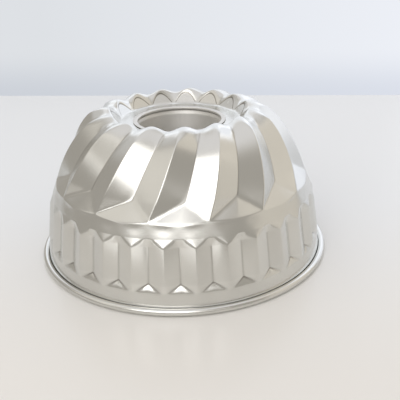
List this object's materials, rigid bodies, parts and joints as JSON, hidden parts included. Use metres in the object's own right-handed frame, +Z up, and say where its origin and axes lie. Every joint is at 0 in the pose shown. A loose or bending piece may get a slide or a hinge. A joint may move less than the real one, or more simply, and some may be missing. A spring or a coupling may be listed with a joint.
{
  "type": "fluted tube pan",
  "caption": "Round tinplate ring-cake mould with a swirled fluted dome, a fluted wall, a rolled rim and an open tapered centre tube, standing crown up on its rim.",
  "frame": {"origin": "middle of the circle that the rolled rim stands on", "axes": "+Z up along the centre tube; the pictured side faces -Y, so +X is to its right"},
  "size_m": [0.2198, 0.2198, 0.1102],
  "materials": {
    "tinplate": "satin pressed tinplate with fine handling marks",
    "tube_tinplate": "satin drawn tinplate, a little duller than the body",
    "steel_wire": "plain drawn steel wire"
  },
  "bodies": {
    "root": {"fluted_body": "tinplate", "centre_tube": "tube_tinplate", "rim_wire": "steel_wire"}
  },
  "joints": []
}
